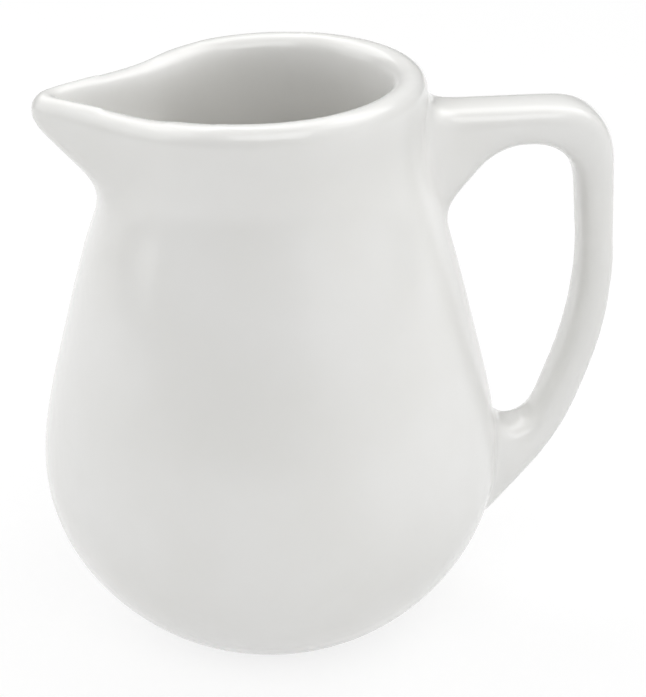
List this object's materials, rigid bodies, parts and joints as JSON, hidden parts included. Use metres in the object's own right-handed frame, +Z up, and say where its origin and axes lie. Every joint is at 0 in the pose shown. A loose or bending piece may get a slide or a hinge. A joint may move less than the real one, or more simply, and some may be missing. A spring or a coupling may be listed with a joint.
{
  "type": "creamer jug",
  "caption": "Small white porcelain creamer jug: bell-shaped body, rolled lip drawn out into a pouring spout, and a square-shouldered handle.",
  "frame": {"origin": "on the jug's axis, in the plane it stands on", "axes": "+Z up, +X towards the handle, -X towards the spout, +Y to the left seen from the spout's side"},
  "size_m": [0.0819, 0.0656, 0.0831],
  "materials": {
    "glaze": "gloss"
  },
  "bodies": {
    "root": {"jug": "glaze"}
  },
  "joints": []
}
